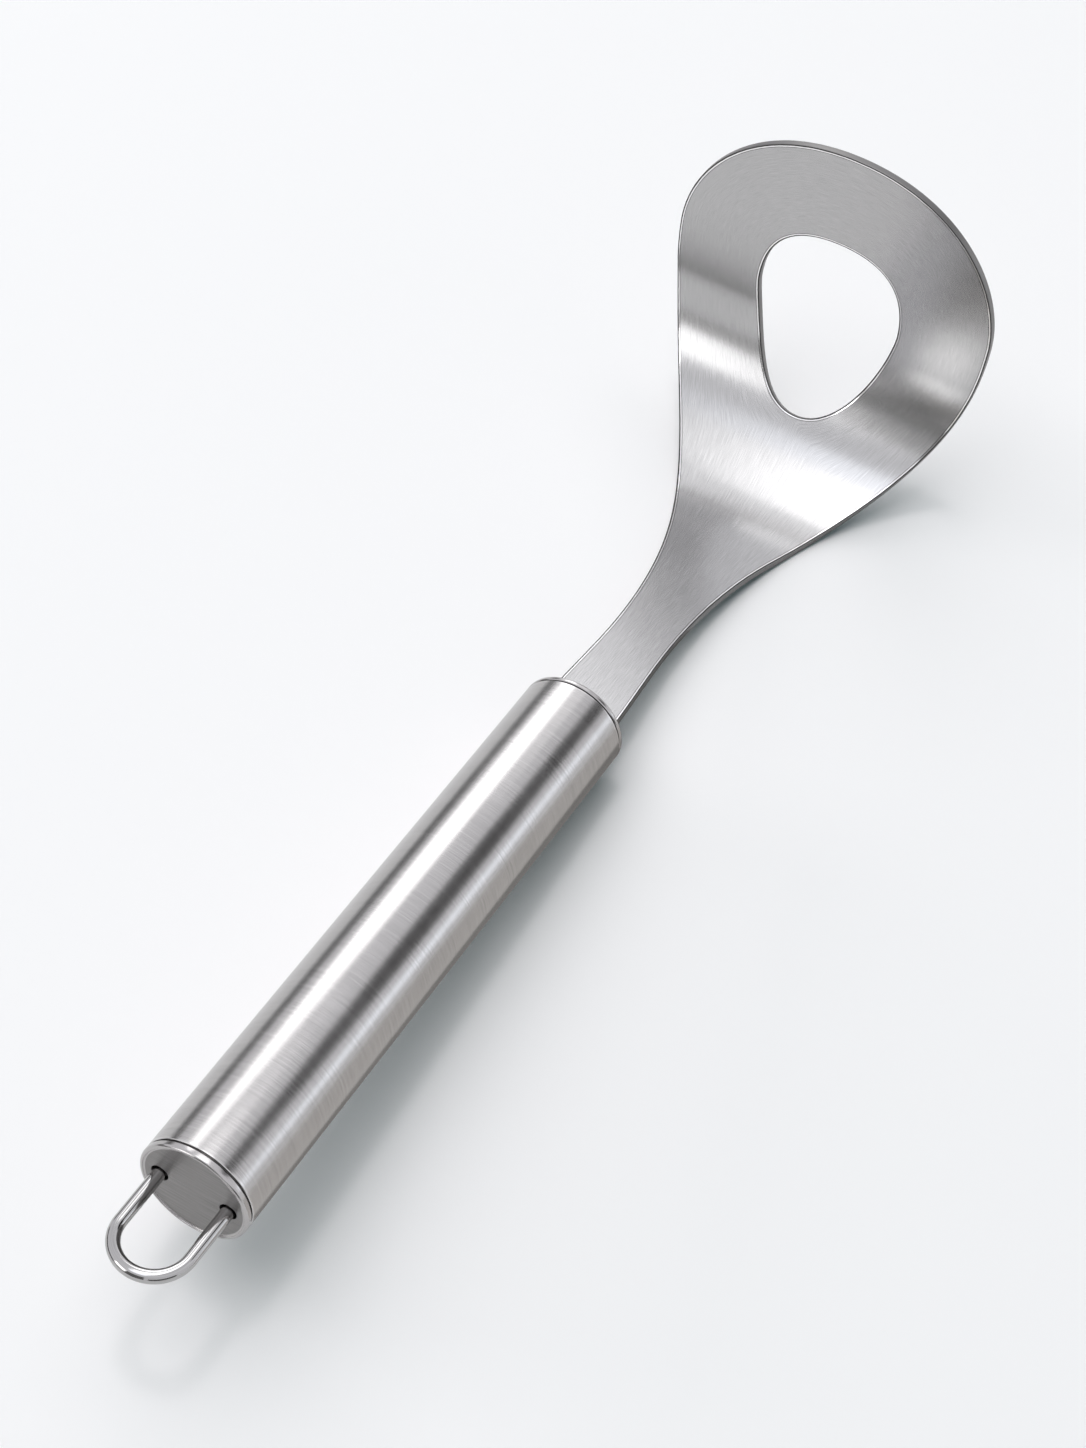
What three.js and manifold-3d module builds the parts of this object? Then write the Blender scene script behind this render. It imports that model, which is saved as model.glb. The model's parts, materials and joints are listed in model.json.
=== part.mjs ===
// Meatball scoop: a bent sheet-steel cutting ring on a hollow round handle with a sliding wire hanger.
// Millimetres. In the handle's own frame X runs along its axis from the tail rim (0) to the head,
// Y runs across the blade and Z is up. The whole scoop is then tipped onto the two places it rests on.

import * as THREE from 'three';
import { mergeVertices } from 'three/addons/utils/BufferGeometryUtils.js';
import Module from 'manifold-3d';

const wasm = await Module();
wasm.setup();

// Handle tube
const HANDLE_LENGTH = 120;
const TUBE_DIAMETER = 20;
const TUBE_WALL = 0.6;

// Pressed cups that close the tube, each with a rolled rim outside and a skirt inside
const CAP_WALL = 0.8;
const CAP_RECESS = 0.25;
const RIM_ROUND = 0.45;
const TAIL_RIM_WIDTH = 1.3;
const FRONT_RIM_WIDTH = 1;
const SKIRT_LENGTH = 7;

// Blade sheet, with lengths measured along its upper face from the handle's mouth
const BLADE_THICKNESS = 1.5;
const BLADE_EDGE_ROUND = 0.4;
const BLADE_LIFT = 0.3;
const BLADE_DROOP = THREE.MathUtils.degToRad(1.75);
const TANG_LENGTH = 35;
const TANG_CORNER = 2;
const SHANK_WIDTH = 14;
const NECK_WIDTH = 12.1;
const NECK_DISTANCE = 25.5;
const HEAD_WIDTH = 65.2;
const FLARE_LENGTH = 94;
const CROWN_LENGTH = 29.5;

// How far each curve of the blade's outline keeps its end direction
const NECK_TAPER = 8;
const FLARE_FROM_NECK = 50;
const FLARE_TO_HEAD = 38;
const CROWN_FROM_HEAD = 14;
const CROWN_AT_TIP = 21;

// Bend that turns the head up
const SHANK_FLAT = 60;
const BEND_RADIUS = 30;
const BEND_ANGLE = THREE.MathUtils.degToRad(94);

// Rounded three-sided hole in the head
const HOLE_WIDTH = 29.2;
const HOLE_LENGTH = 39.6;
const HOLE_TO_TIP = 19.8;
const HOLE_TOP_TO_WIDEST = 15;
const HOLE_TOP_CURVE = 8;
const HOLE_SHOULDER_CURVE = 11.5;
const HOLE_SIDE_CURVE = 3;
const HOLE_FOOT_CURVE = 11;

// Wire hanger
const WIRE_DIAMETER = 2.35;
const LOOP_SPACING = 12.6;
const LOOP_STRAIGHT = 10;
const FOOT_BEND_RADIUS = 1.8;
const FOOT_LENGTH = 2.4;

// Clearances
const SEAT_GAP = 0.3;
const LOOP_HOLE_CLEARANCE = 0.38;

// Facet counts
const ROUND_SIDES = 64;
const RIM_STEPS = 3;
const OUTLINE_STEPS = 16;
const BEND_STEPS = 16;
const EDGE_STEPS = 2;
const WIRE_SIDES = 14;
const WIRE_STEPS = 76;
const LOOP_HOLE_SIDES = 24;

const TUBE_RADIUS = TUBE_DIAMETER / 2;
const TUBE_BORE_RADIUS = TUBE_RADIUS - TUBE_WALL;
const LOOP_HALF_SPACING = LOOP_SPACING / 2;
const CAP_INNER_FACE = CAP_RECESS + CAP_WALL;

// Materials

function brushedSteel() {
  return new THREE.MeshStandardMaterial({ color: 0xb4b2b0, metalness: 1, roughness: 0.34 });
}

function satinSteel() {
  return new THREE.MeshStandardMaterial({ color: 0x9c9a98, metalness: 1, roughness: 0.42 });
}

function polishedSteel() {
  return new THREE.MeshStandardMaterial({ color: 0xc6c5c3, metalness: 1, roughness: 0.16 });
}

// Solids

function toSolid(geometry) {
  const bare = geometry.clone();
  bare.deleteAttribute('normal');
  bare.deleteAttribute('uv');
  const merged = mergeVertices(bare);
  const vertProperties = new Float32Array(merged.attributes.position.array);
  const triVerts = new Uint32Array(merged.index.array);
  return new wasm.Manifold(new wasm.Mesh({ numProp: 3, vertProperties, triVerts }));
}

function fromSolid(solid) {
  const mesh = solid.getMesh();
  const geometry = new THREE.BufferGeometry();
  geometry.setAttribute('position', new THREE.BufferAttribute(mesh.vertProperties, 3));
  geometry.setIndex(new THREE.BufferAttribute(mesh.triVerts, 1));
  geometry.computeVertexNormals();
  return geometry;
}

function cutAway(geometry, cutters) {
  const body = cutters.reduce((left, cutter) => left.subtract(toSolid(cutter)), toSolid(geometry));
  return fromSolid(body);
}

// A profile of (radius, distance along the axis) turned about the handle's X axis
function turnAboutX(profile) {
  const geometry = new THREE.LatheGeometry(profile, ROUND_SIDES);
  return geometry.rotateZ(-Math.PI / 2);
}

function mesh(name, geometry, material) {
  const piece = new THREE.Mesh(geometry, material);
  piece.name = name;
  return piece;
}

// Handle tube, between the two rims

function tubeGeometry() {
  const start = TAIL_RIM_WIDTH + SEAT_GAP;
  const end = HANDLE_LENGTH - FRONT_RIM_WIDTH - SEAT_GAP;
  return turnAboutX([
    new THREE.Vector2(TUBE_BORE_RADIUS, start),
    new THREE.Vector2(TUBE_RADIUS, start),
    new THREE.Vector2(TUBE_RADIUS, end),
    new THREE.Vector2(TUBE_BORE_RADIUS, end),
    new THREE.Vector2(TUBE_BORE_RADIUS, start),
  ]);
}

// End cap with its outer side at X = 0 and its skirt running inwards along +X

function rimArc() {
  const centreRadius = TUBE_RADIUS - RIM_ROUND;
  const dip = Math.min(CAP_RECESS, RIM_ROUND);
  const startAngle = Math.PI * 1.5 - Math.acos((RIM_ROUND - dip) / RIM_ROUND);
  const arc = new THREE.EllipseCurve(centreRadius, RIM_ROUND, RIM_ROUND, RIM_ROUND, startAngle, Math.PI * 2);
  return arc.getPoints(RIM_STEPS * 2);
}

function capGeometry(rimWidth) {
  const skirtOuter = TUBE_BORE_RADIUS - SEAT_GAP;
  const skirtInner = skirtOuter - CAP_WALL;
  const skirtEnd = rimWidth + SKIRT_LENGTH;
  const rim = rimArc();
  return turnAboutX([
    new THREE.Vector2(0, CAP_RECESS),
    new THREE.Vector2(rim[0].x, CAP_RECESS),
    ...rim.slice(1),
    new THREE.Vector2(TUBE_RADIUS, rimWidth),
    new THREE.Vector2(skirtOuter, rimWidth),
    new THREE.Vector2(skirtOuter, skirtEnd),
    new THREE.Vector2(skirtInner, skirtEnd),
    new THREE.Vector2(skirtInner, CAP_INNER_FACE),
    new THREE.Vector2(0, CAP_INNER_FACE),
  ]);
}

function loopHoleCutter(side) {
  const radius = WIRE_DIAMETER / 2 + LOOP_HOLE_CLEARANCE;
  const length = 2 * (TAIL_RIM_WIDTH + SKIRT_LENGTH + SEAT_GAP);
  const cutter = new THREE.CylinderGeometry(radius, radius, length, LOOP_HOLE_SIDES);
  cutter.rotateZ(-Math.PI / 2);
  return cutter.translate(0, side * LOOP_HALF_SPACING, 0);
}

function makeTailCap() {
  const cutters = [1, -1].map(loopHoleCutter);
  return mesh('tail_cap', cutAway(capGeometry(TAIL_RIM_WIDTH), cutters), satinSteel());
}

function slotCutter() {
  const length = 2 * (FRONT_RIM_WIDTH + SKIRT_LENGTH + SEAT_GAP);
  const width = SHANK_WIDTH + 2 * SEAT_GAP;
  const height = BLADE_THICKNESS + 2 * SEAT_GAP;
  const cutter = new THREE.BoxGeometry(length, width, height);
  return cutter.rotateY(BLADE_DROOP).translate(HANDLE_LENGTH, 0, BLADE_LIFT);
}

function makeFrontCap() {
  const cap = mesh('front_cap', undefined, satinSteel());
  cap.rotation.z = Math.PI;
  cap.position.x = HANDLE_LENGTH;
  cap.updateMatrix();
  const cutter = slotCutter().applyMatrix4(cap.matrix.clone().invert());
  cap.geometry = cutAway(capGeometry(FRONT_RIM_WIDTH), [cutter]);
  return cap;
}

// Blade: a flat pattern with a hole, sliced across the bend and folded up

function curvePoints(from, fromHandle, toHandle, to) {
  const ends = [from, fromHandle, toHandle, to].map(([along, across]) => new THREE.Vector2(along, across));
  return new THREE.CubicBezierCurve(...ends).getPoints(OUTLINE_STEPS);
}

function mirrored(points) {
  return points.map((point) => new THREE.Vector2(point.x, -point.y)).reverse();
}

function halfOutline() {
  const shank = SHANK_WIDTH / 2;
  const neck = NECK_WIDTH / 2;
  const head = HEAD_WIDTH / 2;
  const widest = NECK_DISTANCE + FLARE_LENGTH;
  const tip = widest + CROWN_LENGTH;
  const corner = new THREE.EllipseCurve(
    TANG_CORNER - TANG_LENGTH, shank - TANG_CORNER, TANG_CORNER, TANG_CORNER, Math.PI, Math.PI / 2, true,
  );
  const taper = curvePoints(
    [0, shank], [NECK_TAPER, shank], [NECK_DISTANCE - NECK_TAPER, neck], [NECK_DISTANCE, neck],
  );
  const flare = curvePoints(
    [NECK_DISTANCE, neck], [NECK_DISTANCE + FLARE_FROM_NECK, neck],
    [widest - FLARE_TO_HEAD, head], [widest, head],
  );
  const crown = curvePoints([widest, head], [widest + CROWN_FROM_HEAD, head], [tip, CROWN_AT_TIP], [tip, 0]);
  return [...corner.getPoints(RIM_STEPS), ...taper, ...flare.slice(1), ...crown.slice(1)];
}

function halfHole() {
  const half = HOLE_WIDTH / 2;
  const top = NECK_DISTANCE + FLARE_LENGTH + CROWN_LENGTH - HOLE_TO_TIP;
  const widest = top - HOLE_TOP_TO_WIDEST;
  const foot = top - HOLE_LENGTH;
  const lower = curvePoints([foot, 0], [foot, HOLE_FOOT_CURVE], [widest - HOLE_SIDE_CURVE, half], [widest, half]);
  const upper = curvePoints([widest, half], [widest + HOLE_SHOULDER_CURVE, half], [top, HOLE_TOP_CURVE], [top, 0]);
  return [...lower, ...upper.slice(1)];
}

function flatPattern() {
  const outline = halfOutline();
  const hole = halfHole();
  const shape = new THREE.Shape([...outline, ...mirrored(outline).slice(1)].reverse());
  shape.holes.push(new THREE.Path([...hole, ...mirrored(hole).slice(1, -1)]));
  return shape;
}

function flatBlade() {
  const geometry = new THREE.ExtrudeGeometry(flatPattern(), {
    depth: BLADE_THICKNESS - 2 * BLADE_EDGE_ROUND,
    bevelThickness: BLADE_EDGE_ROUND,
    bevelSize: BLADE_EDGE_ROUND,
    bevelOffset: -BLADE_EDGE_ROUND,
    bevelSegments: EDGE_STEPS,
  });
  return geometry.translate(0, 0, BLADE_EDGE_ROUND - BLADE_THICKNESS);
}

// Splits a polygon where it crosses a plane across the blade's length
function splitAcross(polygon, station) {
  const before = [];
  const after = [];
  polygon.forEach((point, i) => {
    const next = polygon[(i + 1) % polygon.length];
    if (point.x <= station) before.push(point);
    if (point.x >= station) after.push(point);
    if ((point.x - station) * (next.x - station) < 0) {
      const [low, high] = point.x < next.x ? [point, next] : [next, point];
      const crossing = low.clone().lerp(high, (station - low.x) / (high.x - low.x));
      before.push(crossing);
      after.push(crossing);
    }
  });
  return [before, after];
}

function sliceAcross(triangle, stations) {
  const slices = [];
  let rest = triangle;
  for (const station of stations) {
    const [before, after] = splitAcross(rest, station);
    if (before.length > 2) slices.push(before);
    rest = after;
  }
  if (rest.length > 2) slices.push(rest);
  return slices;
}

function bendStations() {
  const arc = BEND_RADIUS * BEND_ANGLE;
  return Array.from({ length: BEND_STEPS + 1 }, (_, i) => SHANK_FLAT + (arc * i) / BEND_STEPS);
}

// Carries a point of the flat pattern round the bend, with Z its height over the upper face
function bendPoint(flat) {
  const arc = BEND_RADIUS * BEND_ANGLE;
  const turned = THREE.MathUtils.clamp((flat.x - SHANK_FLAT) / BEND_RADIUS, 0, BEND_ANGLE);
  const before = Math.min(flat.x, SHANK_FLAT);
  const beyond = Math.max(flat.x - SHANK_FLAT - arc, 0);
  const radius = BEND_RADIUS - flat.z;
  const x = before + radius * Math.sin(turned) + beyond * Math.cos(BEND_ANGLE);
  const z = BEND_RADIUS - radius * Math.cos(turned) + beyond * Math.sin(BEND_ANGLE);
  return new THREE.Vector3(x, flat.y, z);
}

function bladeGeometry() {
  const flat = flatBlade().attributes.position;
  const stations = bendStations();
  const bent = [];
  for (let i = 0; i < flat.count; i += 3) {
    const triangle = [0, 1, 2].map((k) => new THREE.Vector3().fromBufferAttribute(flat, i + k));
    for (const slice of sliceAcross(triangle, stations)) {
      const points = slice.map(bendPoint);
      for (let k = 1; k + 1 < points.length; k += 1) bent.push(points[0], points[k], points[k + 1]);
    }
  }
  return mergeVertices(new THREE.BufferGeometry().setFromPoints(bent));
}

function makeBlade() {
  const blade = mesh('scoop_blade', bladeGeometry(), brushedSteel());
  const upperFace = new THREE.Vector3(0, 0, BLADE_THICKNESS / 2);
  upperFace.applyAxisAngle(new THREE.Vector3(0, 1, 0), BLADE_DROOP);
  blade.rotation.y = BLADE_DROOP;
  blade.position.set(HANDLE_LENGTH, 0, BLADE_LIFT).add(upperFace);
  return blade;
}

// Wire hanger: a flat wire path of straight runs and left turns

class WirePath extends THREE.Curve {
  constructor(start, heading, runs) {
    super();
    this.start = start;
    this.heading = heading;
    this.runs = runs;
    this.total = runs.reduce((sum, run) => sum + run.length, 0);
  }

  getPoint(t) {
    let left = t * this.total;
    let { x, y } = this.start;
    let angle = this.heading;
    for (const { length, radius } of this.runs) {
      const step = Math.min(left, length);
      if (radius) {
        const turned = angle + step / radius;
        x += radius * (Math.sin(turned) - Math.sin(angle));
        y -= radius * (Math.cos(turned) - Math.cos(angle));
        angle = turned;
      } else {
        x += step * Math.cos(angle);
        y += step * Math.sin(angle);
      }
      left -= step;
    }
    return new THREE.Vector3(x, y, 0);
  }
}

function loopPath() {
  const footX = CAP_INNER_FACE + SEAT_GAP + WIRE_DIAMETER / 2;
  const footTipY = LOOP_HALF_SPACING - FOOT_BEND_RADIUS - FOOT_LENGTH;
  const foot = { length: FOOT_LENGTH };
  const footBend = { length: (FOOT_BEND_RADIUS * Math.PI) / 2, radius: FOOT_BEND_RADIUS };
  const leg = { length: footX - FOOT_BEND_RADIUS + LOOP_STRAIGHT };
  const crown = { length: LOOP_HALF_SPACING * Math.PI, radius: LOOP_HALF_SPACING };
  const runs = [foot, footBend, leg, crown, leg, footBend, foot];
  return new WirePath(new THREE.Vector2(footX, footTipY), Math.PI / 2, runs);
}

function makeLoop() {
  const section = new THREE.Shape().absarc(0, 0, WIRE_DIAMETER / 2, 0, Math.PI * 2);
  const geometry = new THREE.ExtrudeGeometry(section, {
    extrudePath: loopPath(),
    steps: WIRE_STEPS,
    curveSegments: WIRE_SIDES / 2,
    bevelEnabled: false,
  });
  return mesh('hanging_loop', geometry, polishedSteel());
}

// Rest pose: nose down, on the front rim and on the underside of the bend

function restPitch(blade) {
  const bendCentre = new THREE.Vector3(SHANK_FLAT, 0, BEND_RADIUS).applyEuler(blade.rotation).add(blade.position);
  const rimCentre = new THREE.Vector3(HANDLE_LENGTH - RIM_ROUND, 0, RIM_ROUND - TUBE_RADIUS);
  const reach = bendCentre.sub(rimCentre);
  const outerRadius = BEND_RADIUS + BLADE_THICKNESS;
  return Math.atan2(reach.z, reach.x) - Math.asin((outerRadius - RIM_ROUND) / reach.length());
}

function makeScoop() {
  const scoop = new THREE.Group();
  const blade = makeBlade();
  scoop.add(mesh('handle_tube', tubeGeometry(), brushedSteel()));
  scoop.add(makeTailCap(), makeFrontCap(), blade, makeLoop());
  scoop.rotation.y = restPitch(blade);
  const box = new THREE.Box3().setFromObject(scoop, true);
  const centre = box.getCenter(new THREE.Vector3());
  scoop.position.set(-centre.x, -centre.y, -box.min.z);
  return scoop;
}

export default makeScoop();
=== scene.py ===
"""A meatball scoop: a bent cutting ring on a hollow round handle with a sliding wire hanger.

Every piece is modelled in the handle's own frame (X along its axis from the tail rim, Y across the
blade, Z up, in metres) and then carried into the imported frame.
"""

import json
import logging
import math
from abc import ABC, abstractmethod
from collections.abc import Callable, Sequence
from dataclasses import dataclass
from enum import Enum

import bpy
import numpy as np
from mathutils import Matrix, Quaternion, Vector


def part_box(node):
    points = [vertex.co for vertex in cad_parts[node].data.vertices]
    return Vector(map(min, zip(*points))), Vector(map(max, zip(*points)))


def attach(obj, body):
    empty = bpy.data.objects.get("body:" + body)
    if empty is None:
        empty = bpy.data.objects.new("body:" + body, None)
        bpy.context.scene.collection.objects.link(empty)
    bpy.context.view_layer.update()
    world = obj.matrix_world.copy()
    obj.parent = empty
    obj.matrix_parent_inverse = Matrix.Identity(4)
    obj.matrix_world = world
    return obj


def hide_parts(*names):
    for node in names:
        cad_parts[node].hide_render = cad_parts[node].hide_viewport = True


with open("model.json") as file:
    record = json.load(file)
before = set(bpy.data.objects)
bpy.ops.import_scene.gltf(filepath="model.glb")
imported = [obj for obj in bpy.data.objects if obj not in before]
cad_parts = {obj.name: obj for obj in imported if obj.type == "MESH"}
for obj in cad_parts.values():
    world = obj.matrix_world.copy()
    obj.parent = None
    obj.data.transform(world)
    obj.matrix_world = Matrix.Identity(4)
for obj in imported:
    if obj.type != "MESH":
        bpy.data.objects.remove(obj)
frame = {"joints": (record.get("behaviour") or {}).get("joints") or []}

log = logging.getLogger("scoop")

MM = 0.001
WELD = 1e-6
SMOOTH_ANGLE = math.radians(35)
FLAT_WEIGHT = 60
EDGE_SEGMENTS = 3
NOISE_ROUGHNESS = 0.6
NOISE_MEAN = 0.5

Object = bpy.types.Object
Material = bpy.types.Material
Socket = bpy.types.NodeSocket
Point = tuple[float, float, float]
Colour = tuple[float, float, float]
Pair = tuple[float, float]


class Body(Enum):
    """The two bodies that pieces ride on."""

    HANDLE = "handle"
    LOOP = "loop"


class Side(Enum):
    """The two sides of the scoop, seen from its tail."""

    LEFT = 1
    RIGHT = -1


class CupEnd(Enum):
    """Which end of the tube a cup closes."""

    TAIL = "tail"
    FRONT = "front"


# Shared sizes


@dataclass(frozen=True)
class Sizes:
    """Sizes that more than one piece takes, in metres."""

    handle_length: float = 120 * MM
    tube_radius: float = 10 * MM
    tube_wall: float = 0.6 * MM
    tail_rim: float = 1.3 * MM
    front_rim: float = 1 * MM
    cup_wall: float = 0.8 * MM
    cup_recess: float = 0.25 * MM
    seat_gap: float = 0.3 * MM
    blade_thickness: float = 1.5 * MM
    blade_lift: float = 0.3 * MM
    blade_droop: float = math.radians(1.75)
    shank_width: float = 14 * MM
    wire_radius: float = 1.175 * MM
    leg_offset: float = 6.3 * MM
    wire_hole_clearance: float = 0.38 * MM

    @property
    def tube_bore(self) -> float:
        """Inner radius of the tube."""
        return self.tube_radius - self.tube_wall

    @property
    def tube_start(self) -> float:
        """Where the tube starts, behind the tail rim."""
        return self.tail_rim + self.seat_gap

    @property
    def tube_end(self) -> float:
        """Where the tube ends, short of the front rim."""
        return self.handle_length - self.front_rim - self.seat_gap


@dataclass(frozen=True)
class HandleFrame:
    """The handle's own frame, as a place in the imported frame."""

    origin: Vector
    along: Vector

    @classmethod
    def from_pack(cls, sizes: Sizes) -> "HandleFrame":
        """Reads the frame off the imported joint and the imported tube.

        Args:
            sizes: the shared sizes, which say where the tube's middle is.

        Returns:
            The handle's frame.
        """
        along = Vector(frame["joints"][0]["axis"]).normalized()
        low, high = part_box("handle_tube")
        middle = (sizes.tube_start + sizes.tube_end) / 2
        return cls((low + high) / 2 - along * middle, along)

    @property
    def pitch(self) -> float:
        """How far the handle leans nose down, in radians."""
        return math.atan2(-self.along.z, self.along.x)

    @property
    def matrix(self) -> Matrix:
        """Carries a point of the handle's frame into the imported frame."""
        return Matrix.Translation(self.origin) @ Matrix.Rotation(self.pitch, 4, "Y")


# Modelling bench


class Bench:
    """Hand-modelling steps that several pieces share."""

    @staticmethod
    def clear() -> None:
        """Leaves edit mode and deselects everything."""
        if bpy.context.object and bpy.context.object.mode != "OBJECT":
            bpy.ops.object.mode_set(mode="OBJECT")
        bpy.ops.object.select_all(action="DESELECT")

    @staticmethod
    def take(piece: Object) -> None:
        """Makes one piece the only selected and active one.

        Args:
            piece: the piece to work on.
        """
        Bench.clear()
        piece.select_set(True)
        bpy.context.view_layer.objects.active = piece

    @staticmethod
    def edit(piece: Object) -> None:
        """Opens a piece in edit mode, set to edges, with nothing selected.

        Args:
            piece: the piece to open.
        """
        Bench.take(piece)
        bpy.ops.object.mode_set(mode="EDIT")
        bpy.ops.mesh.select_mode(type="EDGE")
        bpy.ops.mesh.select_all(action="DESELECT")

    @staticmethod
    def pick_edges(piece: Object, wanted: Callable[[Vector, Vector], bool]) -> None:
        """Selects the edges that a test accepts, and opens edit mode on them.

        Args:
            piece: the piece whose edges are tested.
            wanted: takes an edge's two ends, and says if the edge is wanted.
        """
        Bench.edit(piece)
        bpy.ops.object.mode_set(mode="OBJECT")
        points = piece.data.vertices
        for edge in piece.data.edges:
            start, end = edge.vertices
            edge.select = wanted(points[start].co, points[end].co)
        bpy.ops.object.mode_set(mode="EDIT")

    @staticmethod
    def modify(piece: Object, kind: str, **settings: object) -> None:
        """Adds one modifier and applies it.

        Args:
            piece: the piece to finish.
            kind: the modifier's type.
            settings: the modifier's own settings.
        """
        Bench.take(piece)
        modifier = piece.modifiers.new(kind.title(), kind)
        for name, value in settings.items():
            setattr(modifier, name, value)
        bpy.ops.object.modifier_apply(modifier=modifier.name)

    @staticmethod
    def tidy(piece: Object) -> None:
        """Merges doubles and turns all faces one way, which is outwards on a closed piece.

        Args:
            piece: the piece to tidy.
        """
        Bench.edit(piece)
        bpy.ops.mesh.select_all(action="SELECT")
        bpy.ops.mesh.remove_doubles(threshold=WELD)
        bpy.ops.mesh.normals_make_consistent(inside=False)
        bpy.ops.object.mode_set(mode="OBJECT")

    @staticmethod
    def turned(name: str, profile: Sequence[Pair], steps: int) -> Object:
        """Draws a profile point by point and spins it about the handle's axis.

        Args:
            name: the new piece's name.
            profile: points of (along the axis, radius).
            steps: how many sides the full turn has.

        Returns:
            The turned piece.
        """
        Bench.clear()
        points = [Vector((along, 0, radius)) for along, radius in profile]
        bpy.ops.mesh.primitive_plane_add(size=MM, location=points[0])
        piece = bpy.context.object
        piece.name = name
        bpy.ops.object.transform_apply()
        bpy.ops.object.mode_set(mode="EDIT")
        bpy.ops.mesh.select_mode(type="VERT")
        bpy.ops.mesh.merge(type="CENTER")
        for start, end in zip(points, points[1:]):
            bpy.ops.mesh.extrude_vertices_move(TRANSFORM_OT_translate={"value": end - start})
        bpy.ops.mesh.select_all(action="SELECT")
        bpy.ops.mesh.spin(steps=steps, angle=math.tau, center=(0, 0, 0), axis=(1, 0, 0))
        Bench.tidy(piece)
        return piece

    @staticmethod
    def cut(piece: Object, cutter: Object) -> None:
        """Takes a closed cutter out of a piece, and throws the cutter away."""
        Bench.modify(piece, "BOOLEAN", operation="DIFFERENCE", solver="EXACT", object=cutter)
        bpy.data.objects.remove(cutter)

    @staticmethod
    def thicken(piece: Object, wall: float) -> None:
        """Gives a sheet its wall, behind the side that it was drawn on."""
        Bench.modify(piece, "SOLIDIFY", thickness=wall, offset=-1, use_even_offset=True)

    @staticmethod
    def ease(piece: Object, width: float, angle: float, **more: object) -> None:
        """Rounds the edges of a piece that turn by more than an angle."""
        more |= {"width": width, "segments": EDGE_SEGMENTS, "limit_method": "ANGLE"}
        Bench.modify(piece, "BEVEL", angle_limit=angle, **more)

    @staticmethod
    def smooth(piece: Object, keep_flats: bool = False) -> None:
        """Shades a piece smooth over its blunt edges.

        Args:
            piece: the piece to shade.
            keep_flats: leaves wide faces flat beside their rounded edges.
        """
        Bench.take(piece)
        bpy.ops.object.shade_smooth_by_angle(angle=SMOOTH_ANGLE)
        if keep_flats:
            settings = {"mode": "FACE_AREA", "weight": FLAT_WEIGHT, "keep_sharp": True}
            Bench.modify(piece, "WEIGHTED_NORMAL", **settings)

    @staticmethod
    def place(piece: Object, matrix: Matrix) -> None:
        """Carries a piece to its place and applies it to the mesh.

        Args:
            piece: the finished piece.
            matrix: where its frame goes.
        """
        Bench.take(piece)
        piece.matrix_world = matrix
        bpy.ops.object.transform_apply(location=True, rotation=True, scale=True)


# Shader maths


class Value:
    """One number that varies over a surface, written as plain maths."""

    def __init__(self, tree: bpy.types.NodeTree, socket: Socket) -> None:
        """Wraps an output socket of a node tree."""
        self.tree = tree
        self.socket = socket

    def _math(self, operation: str, *operands: "Value | float") -> "Value":
        """Adds one Math node.

        Args:
            operation: the node's operation.
            operands: its inputs in order.

        Returns:
            The node's result.
        """
        node = self.tree.nodes.new("ShaderNodeMath")
        node.operation = operation
        for slot, operand in zip(node.inputs, operands):
            if isinstance(operand, Value):
                self.tree.links.new(operand.socket, slot)
            else:
                slot.default_value = operand
        return Value(self.tree, node.outputs[0])

    def __add__(self, other: "Value | float") -> "Value":
        """Sum."""
        return self._math("ADD", self, other)

    def __sub__(self, other: "Value | float") -> "Value":
        """Difference."""
        return self._math("SUBTRACT", self, other)

    def __rsub__(self, other: float) -> "Value":
        """Difference from a number."""
        return self._math("SUBTRACT", other, self)

    def __mul__(self, other: "Value | float") -> "Value":
        """Product."""
        return self._math("MULTIPLY", self, other)

    def __truediv__(self, other: "Value | float") -> "Value":
        """Quotient."""
        return self._math("DIVIDE", self, other)

    def __rtruediv__(self, other: float) -> "Value":
        """Quotient of a number."""
        return self._math("DIVIDE", other, self)

    __radd__ = __add__
    __rmul__ = __mul__

    def lower(self, other: "Value | float") -> "Value":
        """The smaller of two values."""
        return self._math("MINIMUM", self, other)

    def higher(self, other: "Value | float") -> "Value":
        """The larger of two values."""
        return self._math("MAXIMUM", self, other)

    def root(self) -> "Value":
        """Square root."""
        return self._math("SQRT", self)

    def clamped(self) -> "Value":
        """This value, kept between 0 and 1."""
        return self.higher(0.0).lower(1.0)

    def rise(self, start: float, end: float) -> "Value":
        """A mask that goes from 0 at one level to 1 at another, and stays there."""
        return ((self - start) / (end - start)).clamped()

    def toward(self, other: "Value | float", share: "Value") -> "Value":
        """This value where a share is 0, and another where it is 1."""
        return self * (1 - share) + share * other


Input = Value | Socket | float | tuple


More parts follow.
